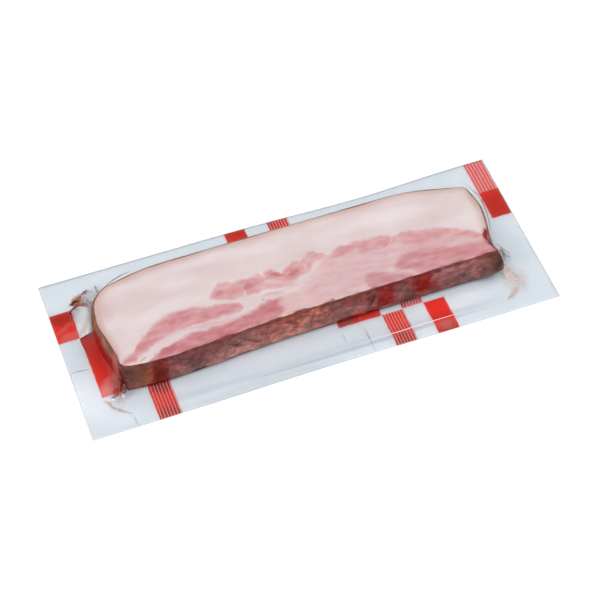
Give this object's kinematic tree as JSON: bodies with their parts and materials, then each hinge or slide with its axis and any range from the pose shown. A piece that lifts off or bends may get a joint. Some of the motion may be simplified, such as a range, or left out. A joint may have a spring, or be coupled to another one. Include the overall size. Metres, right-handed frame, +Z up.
{
  "type": "vacuum-packed slab bacon",
  "caption": "A slab of smoked belly bacon lying on its cut face, vacuum packed in a flat clear pouch with red printed blocks",
  "frame": {"origin": "middle of the flat underside, on the surface that the pack lies on", "axes": "+X along the slab, +Y towards its rind side, +Z up from the surface that it lies on"},
  "size_m": [0.28, 0.1108, 0.026],
  "materials": {
    "clear_film": "clear polyamide and polyethylene vacuum film, faintly blue, glossy, over the meat",
    "printed_ink": "translucent red ink in plain blocks and stripes under a gloss film",
    "cured_meat": "moist cut face of cured pork belly: pinkish white fat with rose lean",
    "smoked_bark": "dark brown smoked surface, mottled and creased",
    "meat_juice": "thin smears of brownish pink juice between the two films"
  },
  "bodies": {
    "root": {"sealed_pack": "clear_film"}
  },
  "joints": []
}
